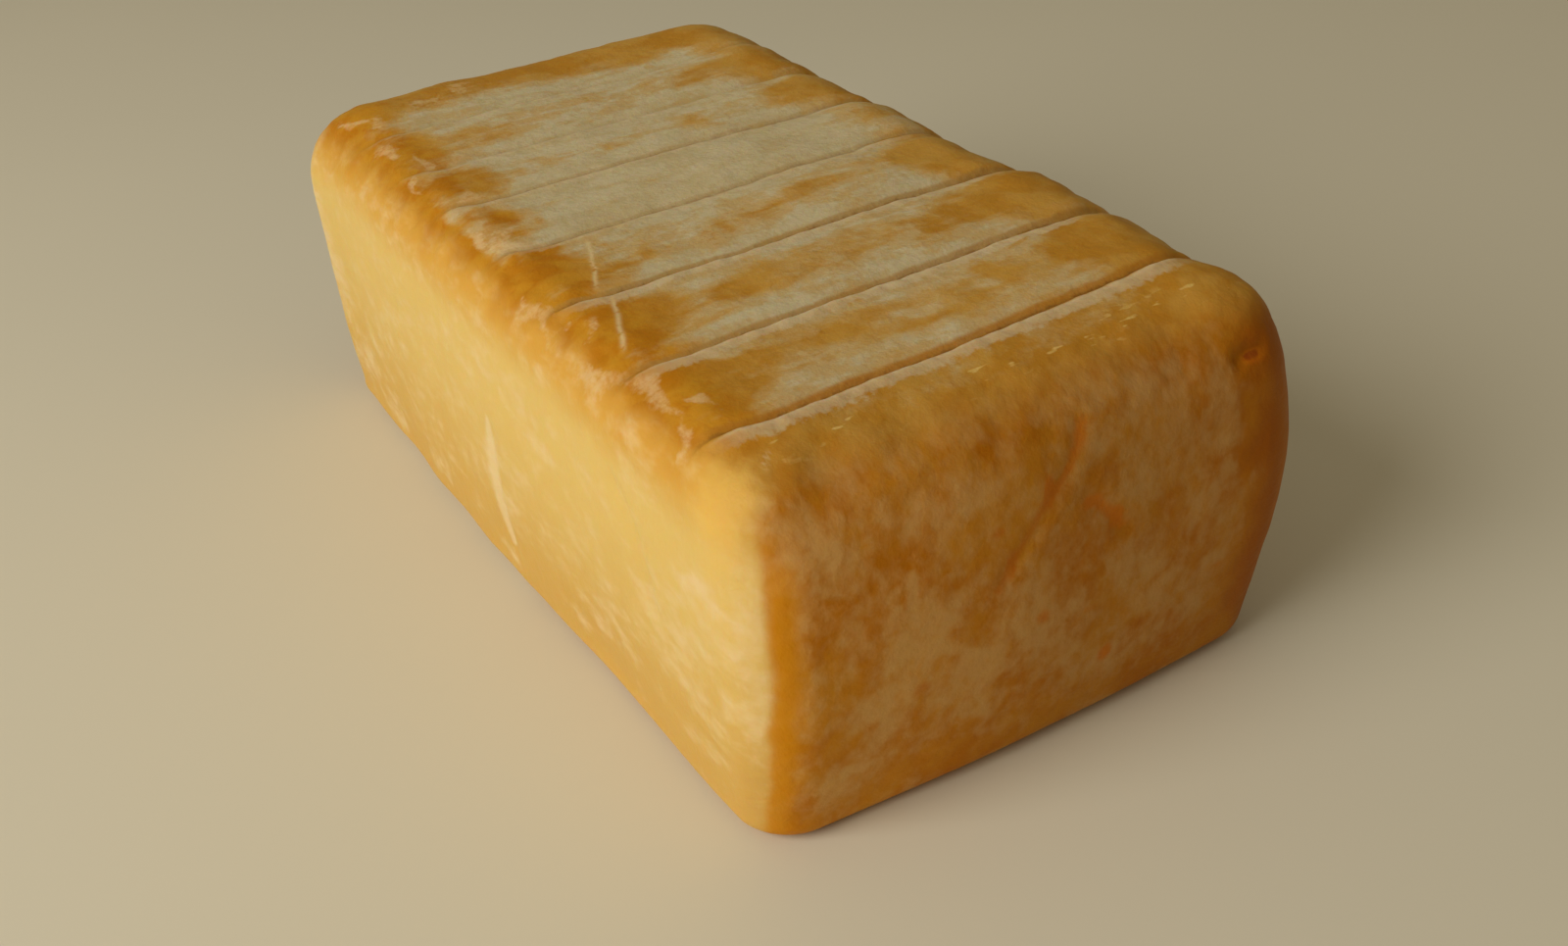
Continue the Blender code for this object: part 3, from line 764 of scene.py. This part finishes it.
# ---------------------------------------------------------------- material
class Nodes:
    """Short calls for building a node tree."""

    def __init__(self, material):
        material.use_nodes = True
        self.tree = material.node_tree
        self.shader = self.tree.nodes["Principled BSDF"]
        coordinates = self.tree.nodes.new("ShaderNodeTexCoord")
        self.place = coordinates.outputs["Object"]
        self.noises = {}

    def feed(self, socket, value):
        """Link an output to a socket, or set the socket to a constant."""
        if isinstance(value, bpy.types.NodeSocket):
            self.tree.links.new(value, socket)
        else:
            socket.default_value = value

    def field(self, name):
        """A value that each point of the mesh carries."""
        node = self.tree.nodes.new("ShaderNodeAttribute")
        node.attribute_name = name
        return node.outputs["Fac"]

    def math(self, operation, first, second=0.0):
        node = self.tree.nodes.new("ShaderNodeMath")
        node.operation = operation
        for socket, value in zip(node.inputs, (first, second)):
            self.feed(socket, value)
        return node.outputs[0]

    def product(self, *factors):
        total = factors[0]
        for factor in factors[1:]:
            total = self.math("MULTIPLY", total, factor)
        return total

    def broken(self, start, **weights):
        """A value broken up by the named noises, each with its weight and its middle at 0."""
        total = start
        for name, weight in weights.items():
            off = self.math("SUBTRACT", self.noises[name], 0.5)
            total = self.math("ADD", total, self.math("MULTIPLY", off, weight))
        return total

    def step(self, value, low, high, to_low=0.0, to_high=1.0):
        """A smooth step from low to high, which may also run downwards."""
        node = self.tree.nodes.new("ShaderNodeMapRange")
        node.interpolation_type = "SMOOTHSTEP"
        names = ("Value", "From Min", "From Max", "To Min", "To Max")
        for name, number in zip(names, (value, low, high, to_low, to_high)):
            self.feed(node.inputs[name], number)
        return node.outputs["Result"]

    def bell(self, value, middle, reach):
        """1 where the value is in the middle, falling off smoothly on both sides."""
        off = self.math("DIVIDE", self.math("SUBTRACT", value, middle), reach)
        return self.math("EXPONENT", self.product(off, off, -1.0))

    def cover(self, name):
        """Where the layer of that name lies: its field, broken up by noises, in a smooth step."""
        weights, start, full = COVERS[name]
        return self.step(self.broken(self.field(name), **weights), start, full)

    def noise(self, span, detail, rough, stretch, seed, warp):
        """Noise from 0 to 1 in space; span is the size of its lumps in mm."""
        mapping = self.tree.nodes.new("ShaderNodeMapping")
        self.tree.links.new(self.place, mapping.inputs["Vector"])
        mapping.inputs["Scale"].default_value = [1 / s for s in stretch]
        node = self.tree.nodes.new("ShaderNodeTexNoise")
        node.noise_dimensions = "4D"
        self.tree.links.new(mapping.outputs["Vector"], node.inputs["Vector"])
        node.inputs["W"].default_value = seed
        node.inputs["Scale"].default_value = 1.0 / (span * MM)
        node.inputs["Detail"].default_value = detail
        node.inputs["Roughness"].default_value = rough
        node.inputs["Distortion"].default_value = warp
        return node.outputs["Fac"]

    def mix(self, share, first, second, blend="MIX"):
        """A colour between two others, each of them a constant or an output."""
        node = self.tree.nodes.new("ShaderNodeMix")
        node.data_type = "RGBA"
        node.blend_type = blend
        self.feed(node.inputs["Factor"], share)
        for socket, value in ((node.inputs[6], first), (node.inputs[7], second)):
            self.feed(socket, value if isinstance(value, bpy.types.NodeSocket) else (*value, 1.0))
        return node.outputs[2]

    def bump(self, height, depth, under=None):
        """A bump of that depth in mm, laid over the bump under it."""
        node = self.tree.nodes.new("ShaderNodeBump")
        node.inputs["Distance"].default_value = depth * MM
        self.feed(node.inputs["Height"], height)
        if under is not None:
            self.feed(node.inputs["Normal"], under)
        return node.outputs["Normal"]


# Rind colours
END = (0.60, 0.245, 0.015)
END_DEEP = (0.53, 0.180, 0.005)
END_HAZY = (0.66, 0.365, 0.115)
# Painted shade, multiplied into the end towards +Y and near its top
SHADE = (0.76, 0.74, 0.72)
# Painted shade for the +Y edge of the end
PAINTED_EDGE_SHADE = (0.33, 0.092, 0.004)
# Painted shade and glow for the shoulders of the upright edges
EDGE = (0.62, 0.245, 0.005)
SIDE_LOW = (0.65, 0.385, 0.095)
SIDE_MIDDLE = (0.74, 0.505, 0.155)
SIDE_HIGH = (0.66, 0.350, 0.060)
# Partly the rind's own paler colour, partly a painted highlight on the near top corner
LOBE = (0.80, 0.520, 0.130)
SIDE_HAZY = (0.79, 0.580, 0.290)
TOP_BARE = (0.55, 0.290, 0.050)
TOP_DEEP = (0.49, 0.225, 0.022)
RIM = (0.55, 0.250, 0.016)
RIM_DEEP = (0.48, 0.180, 0.006)
# Pale peeled rind for the streak; on the foot, partly painted light
PEELED_AND_PAINTED_LIGHT = (0.82, 0.640, 0.360)
# What lies on it
FILM = (0.56, 0.370, 0.145)
BLOOM = (0.53, 0.440, 0.255)
BLOOM_PALE = (0.59, 0.515, 0.335)
LIP = (0.65, 0.490, 0.300)
LIP_FILM = (0.60, 0.460, 0.270)
FROSTED = (0.74, 0.530, 0.280)
# Bare rind on the groove's slope, partly painted shade
CUT = (0.46, 0.195, 0.022)
CUT_DULL = (0.43, 0.250, 0.070)
# Painted shade at the bottom of each groove
PAINTED_GROOVE_SHADE = (0.27, 0.115, 0.020)
MARK = (0.52, 0.150, 0.006)
MARK_DEEP = (0.30, 0.065, 0.006)
# Partly pale bits, partly painted wet glints
FLECK = (0.74, 0.520, 0.170)
VEIN = (0.76, 0.580, 0.300)

# Noises of the rind: span in mm, detail, roughness, stretch along x, y and z, seed, warp
NOISES = {
    "broad": (8.0, 3.0, 0.50, (1, 1, 1), 1.0, 0.0),
    "patchy": (2.8, 4.0, 0.55, (1, 1, 1), 2.0, 0.4),
    "grain": (0.26, 2.0, 0.60, (1, 1, 1), 3.0, 0.0),
    "streaks": (0.6, 2.0, 0.50, (4.0, 1, 3.0), 4.0, 0.0),
    "wrinkles": (0.9, 4.0, 0.55, (1, 1, 1), 5.0, 0.0),
    "feathery": (2.2, 4.0, 0.55, (1, 2.4, 1), 6.0, 0.5),
    "crumbly": (0.75, 3.0, 0.60, (1, 1, 1), 7.0, 0.0),
    "flecks": (0.55, 1.0, 0.50, (1, 3.2, 1), 8.0, 0.0),
    "mottle": (1.1, 2.5, 0.50, (2.0, 1, 1.2), 10.0, 0.3),
    "cloudy": (3.2, 4.0, 0.55, (1.7, 1, 1), 12.0, 0.4),
}
FLOOR_NOISE = (60.0, 2.0, 0.50, (1, 1, 1), 9.0, 0.0)

# Where the layers lie: the noises that break up the field of that name, and the values at which the
# layer starts and is full
COVERS = {
    "haze": ({"cloudy": 2.5, "mottle": 1.7, "streaks": 0.5}, -0.20, 1.15),
    "lobe": ({"patchy": 0.5, "mottle": 0.3}, 0.15, 1.05),
    "mark": ({"crumbly": 0.5}, 0.12, 0.75),
    "notch": ({"crumbly": 0.8}, 0.35, 0.75),
    "foot": ({"patchy": 1.6}, 0.45, 1.0),
    "streak": ({"crumbly": 0.8}, 1.5, 0.3),
    "frost": ({"feathery": 1.4, "crumbly": 1.8, "grain": 0.5}, 0.35, 1.25),
}
# How strongly each layer covers what lies under it
SHARES = {
    "haze": 0.92, "painted_edge_shade": 0.92, "edge": 0.90, "lobe": 0.72,
    "mark": 0.85, "notch": 0.90, "foot": 0.60, "streak": 0.65,
    "film": 0.80, "bloom": 0.82, "crust": 0.15, "frost": 0.52,
    "lip": 0.72, "crest": 0.85, "cut": 0.85, "hairline": 0.90,
    "vein": 0.75, "fleck": 0.90,
}
# The -Y side changes colour between these heights in mm
SIDE_LOW_FADE = (2.0, 24.0)
SIDE_HIGH_FADE = (27.5, 33.0)
# Steps as (start, full), and bells as (middle, reach)
FILM_FADE = (-0.22, 0.50)
BLOOM_FADE = (0.34, 0.92)
CRUST_BELL = (0.42, 0.08)
LIP_FADE = (0.0, 0.6)
CREST_BELL = (-0.62, 0.30)
CUT_SHIFT = 0.22
CUT_FADE = (1.45, 0.55)
HAIRLINE_BELL = (0.05, 0.22)
HAIRLINE_GAPS = (0.32, 0.52)
VEIN_BELL = (0.0, 0.24)
VEIN_GAPS = (0.30, 0.50)
FLECK_FADE = (0.63, 0.72)
CRUMB_FADE = (-0.6, 0.4)
# Depths of the finest bumps in mm, which the mesh is too coarse for
WRINKLE_BUMP = 0.14
CRUMB_BUMP = 0.08
GRAIN_BUMP = 0.02
# Bare rind shines a little, and bloom is matt
ROUGHNESS = (0.50, 0.85)
SPECULAR_LEVEL = 0.06
# Light passes a little way through the rind, red light farthest
SUBSURFACE_WEIGHT = 0.5
SUBSURFACE_RADIUS = (1.0, 0.40, 0.12)
SUBSURFACE_SCALE = 2.6 * MM


def lay(nodes, under, name, colour, *where):
    """Lay a colour over what lies under it, as strongly as that layer's share says."""
    return nodes.mix(nodes.product(*where, SHARES[name]), under, colour)


def two_tone(nodes, first, second, base, reach, **weights):
    """Blotches of two colours, from one noise broken up by others."""
    cover = nodes.broken(nodes.noises[base], **weights)
    return nodes.mix(nodes.step(cover, 0.5 - reach, 0.5 + reach), first, second)


def side_colour(nodes):
    """The -Y side: duller at its foot, yellow in the middle, more orange towards its upper edge."""
    height = nodes.field("height")
    low = nodes.step(nodes.broken(height, cloudy=12.0), *SIDE_LOW_FADE)
    high = nodes.step(nodes.broken(height, patchy=3.0), *SIDE_HIGH_FADE)
    return nodes.mix(high, nodes.mix(low, SIDE_LOW, SIDE_MIDDLE), SIDE_HIGH)


def rind_colour(nodes):
    """The bare rind: orange-brown ends, yellower sides, deep orange rims and top."""
    side = nodes.field("side")
    colour = two_tone(nodes, END_DEEP, END, "broad", 0.15, patchy=0.7)
    colour = nodes.mix(side, colour, side_colour(nodes))
    colour = lay(nodes, colour, "haze", nodes.mix(side, END_HAZY, SIDE_HAZY), nodes.cover("haze"))
    # Painted shade: the end dimmed towards +Y and near its top
    colour = nodes.mix(nodes.field("shade"), colour, SHADE, "MULTIPLY")
    # Painted shade towards the +Y edge of the end
    colour = lay(nodes, colour, "painted_edge_shade", PAINTED_EDGE_SHADE, nodes.field("painted_edge_shade"))
    # Painted shade and glow along the upright edges
    colour = lay(nodes, colour, "edge", EDGE, nodes.field("edge"))
    top = two_tone(nodes, TOP_DEEP, TOP_BARE, "broad", 0.12, patchy=0.8)
    colour = nodes.mix(nodes.field("top"), colour, top)
    rim = two_tone(nodes, RIM_DEEP, RIM, "patchy", 0.12, broad=0.5)
    colour = nodes.mix(nodes.field("rim"), colour, rim)
    # The pale lobe at the near top corner, partly a painted highlight
    return lay(nodes, colour, "lobe", LOBE, nodes.cover("lobe"))


def lay_marks(nodes, colour):
    """Reddish marks, the dark notch, the torn foot, partly painted light, and the peeled streak."""
    colour = lay(nodes, colour, "mark", MARK, nodes.cover("mark"))
    colour = lay(nodes, colour, "notch", MARK_DEEP, nodes.cover("notch"))
    # The paler foot, partly painted light
    colour = lay(nodes, colour, "foot", PEELED_AND_PAINTED_LIGHT, nodes.cover("foot"), nodes.field("side"))
    return lay(nodes, colour, "streak", PEELED_AND_PAINTED_LIGHT, nodes.cover("streak"))


def lay_bloom(nodes, colour):
    """The grey-cream film in two thicknesses, with a paler crust where the thicker one starts."""
    cover = nodes.broken(nodes.field("bloom"), feathery=2.0, crumbly=0.7, grain=0.12)
    film = nodes.step(cover, *FILM_FADE)
    colour = lay(nodes, colour, "film", FILM, film)
    tone = two_tone(nodes, BLOOM, BLOOM_PALE, "feathery", 0.16, crumbly=0.5)
    colour = lay(nodes, colour, "bloom", tone, nodes.step(cover, *BLOOM_FADE))
    return lay(nodes, colour, "crust", BLOOM_PALE, nodes.bell(cover, *CRUST_BELL)), film


def lay_lips(nodes, colour):
    """The pale lips beside the grooves, brightest along a crest."""
    strength = nodes.field("lip_strength")
    inside = nodes.math("SUBTRACT", 1.0, nodes.math("ABSOLUTE", nodes.field("lip")))
    cover = nodes.step(nodes.broken(inside, feathery=1.2, crumbly=2.0, grain=0.3), *LIP_FADE)
    lip = nodes.product(cover, strength)
    colour = lay(nodes, colour, "lip", LIP_FILM, lip)
    crest = nodes.bell(nodes.broken(nodes.field("lip"), crumbly=0.6), *CREST_BELL)
    return lay(nodes, colour, "crest", LIP, crest, strength), lip


def lay_cuts(nodes, colour):
    """The bare sloping side of each groove, partly painted shade, and a broken dark hairline of painted
    shade at its bottom.
    """
    strength, groove = nodes.field("cut_strength"), nodes.field("groove")
    offset = nodes.broken(groove, patchy=0.5, crumbly=0.45)
    across = nodes.math("DIVIDE", nodes.math("ADD", offset, CUT_SHIFT), nodes.field("cut_half"))
    cover = nodes.step(nodes.math("ABSOLUTE", across), *CUT_FADE)
    tone = nodes.mix(nodes.field("cut_dull"), CUT, CUT_DULL)
    colour = lay(nodes, colour, "cut", tone, cover, strength)
    # Painted shade: a dark hairline at the bottom of the groove
    line = nodes.bell(nodes.broken(groove, crumbly=0.8, grain=0.3), *HAIRLINE_BELL)
    gaps = nodes.step(nodes.broken(nodes.noises["patchy"], crumbly=0.5), *HAIRLINE_GAPS)
    return lay(nodes, colour, "hairline", PAINTED_GROOVE_SHADE, line, gaps, strength)


def lay_veins(nodes, colour):
    """The two thin pale veins, and the short pale flecks in front of the first groove, partly painted
    glints.
    """
    vein = nodes.bell(nodes.field("vein"), *VEIN_BELL)
    gaps = nodes.step(nodes.noises["crumbly"], *VEIN_GAPS)
    colour = lay(nodes, colour, "vein", VEIN, vein, nodes.field("vein_strength"), gaps)
    fleck = nodes.step(nodes.noises["flecks"], *FLECK_FADE)
    return lay(nodes, colour, "fleck", FLECK, fleck, nodes.field("front_rim"))


def add_bumps(nodes):
    """The finest wrinkles and grain, and crumbs where bloom lies."""
    skin = nodes.bump(nodes.noises["wrinkles"], WRINKLE_BUMP)
    crumbs = nodes.product(nodes.noises["crumbly"], nodes.step(nodes.field("bloom"), *CRUMB_FADE))
    crumbs = nodes.bump(crumbs, CRUMB_BUMP, under=skin)
    nodes.feed(nodes.shader.inputs["Normal"], nodes.bump(nodes.noises["grain"], GRAIN_BUMP, under=crumbs))


def rind_material():
    """The bare rind with its marks, then bloom, frost, lips, cuts, veins and flecks on it."""
    material = bpy.data.materials.new("washed_rind")
    nodes = Nodes(material)
    nodes.noises = {name: nodes.noise(*row) for name, row in NOISES.items()}
    colour = lay_marks(nodes, rind_colour(nodes))
    colour, film = lay_bloom(nodes, colour)
    frost = nodes.cover("frost")
    colour = lay(nodes, colour, "frost", FROSTED, frost)
    colour, lip = lay_lips(nodes, colour)
    colour = lay_veins(nodes, lay_cuts(nodes, colour))
    shader = nodes.shader.inputs
    nodes.feed(shader["Base Color"], colour)
    matt = nodes.math("MAXIMUM", film, nodes.math("MAXIMUM", lip, frost))
    nodes.feed(shader["Roughness"], nodes.step(matt, 0.0, 1.0, *ROUGHNESS))
    add_bumps(nodes)
    shader["Subsurface Weight"].default_value = SUBSURFACE_WEIGHT
    shader["Subsurface Radius"].default_value = SUBSURFACE_RADIUS
    shader["Subsurface Scale"].default_value = SUBSURFACE_SCALE
    shader["Specular IOR Level"].default_value = SPECULAR_LEVEL
    return material


# ---------------------------------------------------------------- floor, light and camera
FLOOR_SIZE = 6.0
FLOOR_COLOUR = (0.72, 0.67, 0.55)
FLOOR_UNEVENNESS = 1.03
FLOOR_ROUGHNESS = 0.8

WINDOW_DIRECTION = (0.13, -0.84, 0.52)
WINDOW_DISTANCE = 0.6
WINDOW_SIZE = 0.40
WINDOW_POWER = 2.45
WINDOW_COLOUR = (1.0, 0.97, 0.88)
# The sky grows from the first strength to the second, as its direction turns to the bright side
SKY_COLOUR = (0.80, 0.70, 0.48)
BRIGHT_SIDE = (0.22, -0.80, 0.55)
SKY_TURN = (-0.9, 0.9)
SKY_STRENGTHS = (0.14, 0.42)

CAMERA_TARGET = Vector((0.34, 4.46, 0.0)) * MM
CAMERA_AZIMUTH = radians(60.83)
CAMERA_ELEVATION = radians(31.93)
CAMERA_ROLL = radians(-3.975)
CAMERA_DISTANCE = 178.6 * MM
LENS_MM = 38.26
SENSOR_MM = 36.0


def add_floor():
    """A plain pale floor, almost even in colour."""
    bpy.ops.mesh.primitive_plane_add(size=FLOOR_SIZE, location=(0, 0, 0))
    floor = bpy.context.object
    floor.name = "floor"
    material = bpy.data.materials.new("pale_floor")
    nodes = Nodes(material)
    lighter = [value * FLOOR_UNEVENNESS for value in FLOOR_COLOUR]
    colour = nodes.mix(nodes.noise(*FLOOR_NOISE), FLOOR_COLOUR, lighter)
    nodes.feed(nodes.shader.inputs["Base Color"], colour)
    nodes.shader.inputs["Roughness"].default_value = FLOOR_ROUGHNESS
    floor.data.materials.append(material)


def add_window():
    """One large soft light at the near left."""
    light = bpy.data.lights.new("window", "AREA")
    light.shape = "DISK"
    light.size = WINDOW_SIZE
    light.energy = WINDOW_POWER
    light.color = WINDOW_COLOUR
    lamp = bpy.data.objects.new("window", light)
    towards = Vector(WINDOW_DIRECTION).normalized()
    lamp.location = towards * WINDOW_DISTANCE + Vector((0, 0, HEIGHT / 2))
    lamp.rotation_euler = towards.to_track_quat("Z", "Y").to_euler()
    bpy.context.scene.collection.objects.link(lamp)


def add_sky():
    """Soft light from all round, brighter from the near left than from behind."""
    world = bpy.data.worlds.new("studio")
    world.use_nodes = True
    tree = world.node_tree
    background = tree.nodes["Background"]
    coordinates = tree.nodes.new("ShaderNodeTexCoord")
    towards = tree.nodes.new("ShaderNodeVectorMath")
    towards.operation = "DOT_PRODUCT"
    tree.links.new(coordinates.outputs["Generated"], towards.inputs[0])
    towards.inputs[1].default_value = Vector(BRIGHT_SIDE).normalized()
    strength = tree.nodes.new("ShaderNodeMapRange")
    tree.links.new(towards.outputs["Value"], strength.inputs["Value"])
    names = ("From Min", "From Max", "To Min", "To Max")
    for name, number in zip(names, (*SKY_TURN, *SKY_STRENGTHS)):
        strength.inputs[name].default_value = number
    tree.links.new(strength.outputs["Result"], background.inputs["Strength"])
    background.inputs["Color"].default_value = (*SKY_COLOUR, 1.0)
    bpy.context.scene.world = world


def add_camera():
    """The photo's viewing angle."""
    camera = bpy.data.cameras.new("camera")
    camera.lens = LENS_MM
    camera.sensor_width = SENSOR_MM
    camera.sensor_fit = "HORIZONTAL"
    camera.clip_start = 0.005
    camera.dof.use_dof = False
    east, north = cos(CAMERA_AZIMUTH), sin(CAMERA_AZIMUTH)
    level = Vector((east, north, 0.0))
    out = cos(CAMERA_ELEVATION)
    back = Vector((north * out, -east * out, sin(CAMERA_ELEVATION)))
    rise = back.cross(level)
    right = level * cos(CAMERA_ROLL) + rise * sin(CAMERA_ROLL)
    up = rise * cos(CAMERA_ROLL) - level * sin(CAMERA_ROLL)
    holder = bpy.data.objects.new("camera", camera)
    turn = Matrix((right, up, back)).transposed().to_4x4()
    holder.matrix_world = Matrix.Translation(CAMERA_TARGET + back * CAMERA_DISTANCE) @ turn
    bpy.context.scene.collection.objects.link(holder)
    bpy.context.scene.camera = holder


def main():
    """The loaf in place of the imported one, on a floor, under soft light."""
    bpy.context.scene.view_settings.view_transform = "Standard"
    piece = build_loaf()
    piece.data.materials.append(rind_material())
    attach(piece, "root")
    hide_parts("limburger")
    add_floor()
    add_window()
    add_sky()
    add_camera()


main()
